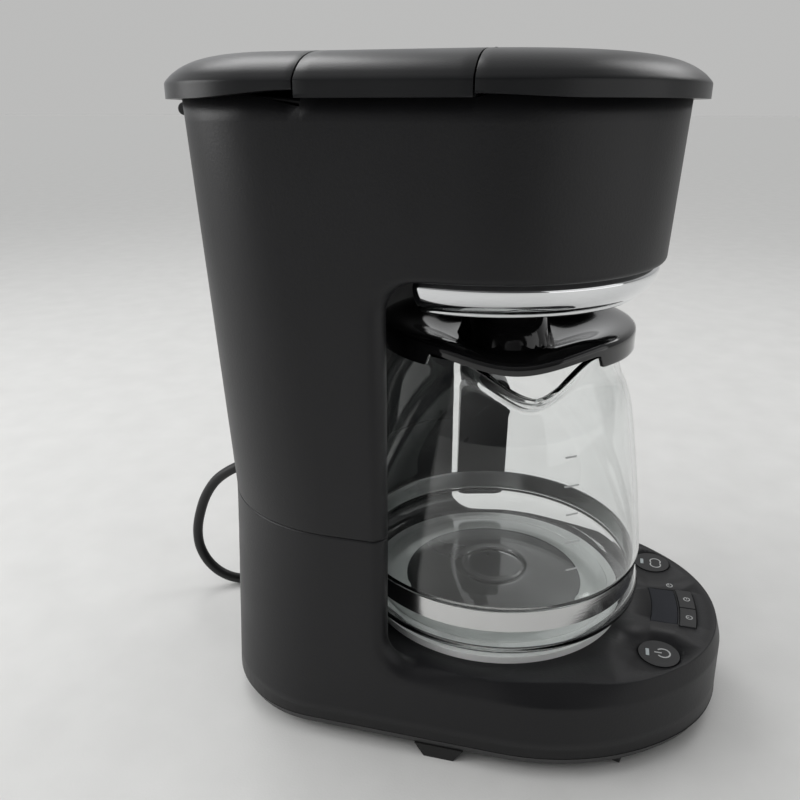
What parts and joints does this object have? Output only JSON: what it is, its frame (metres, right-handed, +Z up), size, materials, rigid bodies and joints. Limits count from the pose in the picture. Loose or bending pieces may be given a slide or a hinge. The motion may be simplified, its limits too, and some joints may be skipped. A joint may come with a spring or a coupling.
{
  "type": "drip coffee maker",
  "caption": "Countertop drip coffee maker with a hinged filter lid and tank lid, raised warming plate, glass carafe, clock panel and coiled mains cord.",
  "frame": {"origin": "on the table under the middle of the box round the machine and its carafe, the cord left out", "axes": "+Z up; -Y is the front with the control panel; -X is the user's left when facing the machine"},
  "size_m": [0.3127, 0.3062, 0.305],
  "materials": {
    "body_plastic": "fine satin grain",
    "lid_plastic": "satin",
    "gloss_black": "polished",
    "button_plastic": "satin",
    "light_lens": "clear-white lens",
    "display_lens": "dark clear lens",
    "chrome_trim": "mirror",
    "steel_band": "polished",
    "plate_enamel": "non-stick coat",
    "silicone": "matte",
    "foot_rubber": "matte",
    "cord_vinyl": "matte",
    "borosilicate": "clear",
    "inner_plastic": "moulded",
    "tank_plastic": "moulded",
    "mesh_steel": "fine mesh",
    "aluminium_tube": "cast",
    "zinc_steel": "plated",
    "brass_pin": "bright",
    "board_laminate": "circuit board",
    "ceramic_white": "moulded"
  },
  "bodies": {
    "machine": {"base_plate": "inner_plastic", "feet": "foot_rubber", "base_screws": "zinc_steel", "lower_housing": "body_plastic", "upper_housing": "body_plastic", "warming_plate": "plate_enamel", "plate_seal": "silicone", "heater_tube": "aluminium_tube", "heating_element": "zinc_steel", "heater_clamp": "zinc_steel", "clamp_nut": "zinc_steel", "thermostat": "ceramic_white", "thermal_fuse": "ceramic_white", "water_tank": "tank_plastic", "check_valve": "inner_plastic", "check_ball": "silicone", "cold_water_hose": "silicone", "hot_water_tube": "silicone", "hose_clamps": "zinc_steel", "spray_head": "inner_plastic", "top_deck": "inner_plastic", "brew_chamber": "inner_plastic", "filter_basket": "inner_plastic", "mesh_filter": "mesh_steel", "drip_stop_spring": "zinc_steel", "drip_stop_seal": "silicone", "chrome_ring": "chrome_trim", "lid_bridge": "lid_plastic", "rear_hinge_pin": "zinc_steel", "front_hinge_pin": "zinc_steel", "control_board": "board_laminate", "tact_switches": "inner_plastic", "lcd_module": "inner_plastic", "lcd_window": "display_lens", "strain_relief": "cord_vinyl", "power_cord": "cord_vinyl", "cord_coil": "cord_vinyl", "cord_tie": "cord_vinyl", "power_plug": "cord_vinyl", "plug_pins": "brass_pin"},
    "front_lid": {"front_lid": "lid_plastic"},
    "rear_lid": {"rear_lid": "lid_plastic"},
    "carafe": {"carafe_glass": "borosilicate", "carafe_band": "steel_band", "band_screw": "zinc_steel", "carafe_handle": "gloss_black"},
    "carafe_lid": {"carafe_lid": "gloss_black"},
    "drip_stop": {"drip_stop_valve": "inner_plastic"},
    "power_button": {"power_button": "button_plastic", "power_light": "light_lens"},
    "strength_button": {"strength_button": "button_plastic", "strength_light": "light_lens"},
    "hour_button": {"hour_button": "button_plastic"},
    "minute_button": {"minute_button": "button_plastic"}
  },
  "joints": [
    {"name": "front_lid_hinge", "type": "hinge", "parent": "machine", "child": "front_lid", "pos_m": [-0.01449, -0.0141, 0.303], "axis": [-1, 0, 0], "range_deg": [0, 90]},
    {"name": "rear_lid_hinge", "type": "hinge", "parent": "machine", "child": "rear_lid", "pos_m": [-0.01449, 0.12825, 0.2844], "axis": [-1, 0, 0], "range_deg": [0, 80]},
    {"name": "carafe_slide", "type": "slide", "parent": "machine", "child": "carafe", "axis": [0, -1, 0], "range_m": [0, 0.2]},
    {"name": "carafe_lid_twist", "type": "hinge", "parent": "carafe", "child": "carafe_lid", "pos_m": [-0.01449, -0.01575, 0.189], "axis": [0, 0, 1], "range_deg": [0, 18]},
    {"name": "drip_stop_lift", "type": "slide", "parent": "machine", "child": "drip_stop", "axis": [0, 0, 1], "range_m": [0, 0.003], "stiffness_N_per_m": 150, "springref_m": -0.002, "deforming": ["drip_stop_spring"]},
    {"name": "power_press", "type": "slide", "parent": "machine", "child": "power_button", "axis": [0, 0, -1], "range_m": [0, 0.0008], "stiffness_N_per_m": 900, "springref_m": -0.0006},
    {"name": "strength_press", "type": "slide", "parent": "machine", "child": "strength_button", "axis": [0, 0, -1], "range_m": [0, 0.0008], "stiffness_N_per_m": 900, "springref_m": -0.0006},
    {"name": "hour_press", "type": "slide", "parent": "machine", "child": "hour_button", "axis": [0, 0, -1], "range_m": [0, 0.0008], "stiffness_N_per_m": 900, "springref_m": -0.0006},
    {"name": "minute_press", "type": "slide", "parent": "machine", "child": "minute_button", "axis": [0, 0, -1], "range_m": [0, 0.0008], "stiffness_N_per_m": 900, "springref_m": -0.0006}
  ]
}
